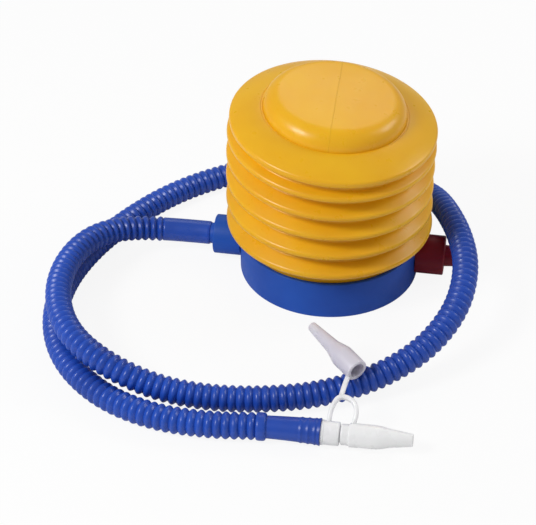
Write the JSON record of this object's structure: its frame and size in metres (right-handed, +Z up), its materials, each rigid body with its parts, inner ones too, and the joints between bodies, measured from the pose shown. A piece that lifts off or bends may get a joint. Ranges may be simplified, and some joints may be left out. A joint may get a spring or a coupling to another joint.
{
  "type": "bellows air pump",
  "caption": "Round bellows air pump: plastic base with an outlet port and an inlet port, folded bellows pressed down by hand or foot, ribbed hose and tethered push-on nozzles.",
  "frame": {"origin": "middle of the base's underside, on the floor", "axes": "+Z up along the bellows, +X out through the red inlet port, -X out through the blue outlet port that feeds the hose"},
  "size_m": [0.2566, 0.2778, 0.1281],
  "materials": {
    "base_blue": "moulded, satin gloss",
    "inlet_red": "moulded, satin gloss",
    "bellows_yellow": "blow moulded, soft sheen",
    "hose_blue": "corrugated, glossy",
    "nozzle_white": "translucent, soft",
    "insert_white": "moulded, plain",
    "valve_rubber": "smooth",
    "spring_steel": "drawn wire"
  },
  "bodies": {
    "base": {"base_cup": "base_blue", "bellows_folds": "bellows_yellow", "return_spring": "spring_steel", "outlet_housing": "base_blue", "outlet_seat": "insert_white", "inlet_housing": "inlet_red", "inlet_stop": "insert_white", "hose": "hose_blue", "hose_collar": "nozzle_white", "tether_loop": "nozzle_white"},
    "crown": {"bellows_crown": "bellows_yellow", "spring_seat": "insert_white"},
    "outlet_valve": {"outlet_disc": "valve_rubber"},
    "inlet_valve": {"inlet_disc": "valve_rubber"},
    "fitted_nozzle": {"nozzle_fitted": "nozzle_white"},
    "spare_nozzle": {"nozzle_spare": "nozzle_white", "tether_stem": "nozzle_white"}
  },
  "joints": [
    {"name": "bellows_press", "type": "slide", "parent": "base", "child": "crown", "axis": [0, 0, -1], "range_m": [0, 0.05], "stiffness_N_per_m": 1000, "springref_m": -0.02, "deforming": ["bellows_folds", "return_spring"]},
    {"name": "outlet_valve_lift", "type": "slide", "parent": "base", "child": "outlet_valve", "axis": [-1, 0, 0], "range_m": [0, 0.0025]},
    {"name": "inlet_valve_lift", "type": "slide", "parent": "base", "child": "inlet_valve", "axis": [-1, 0, 0], "range_m": [0, 0.0025]},
    {"name": "nozzle_pull", "type": "slide", "parent": "base", "child": "fitted_nozzle", "axis": [1, 0, 0], "range_m": [0, 0.016], "deforming": ["tether_loop"]},
    {"name": "spare_nozzle_lift", "type": "hinge", "parent": "base", "child": "spare_nozzle", "pos_m": [0.0305, -0.1475, 0.0226], "axis": [1, 0, 0], "range_deg": [0, 60]}
  ]
}
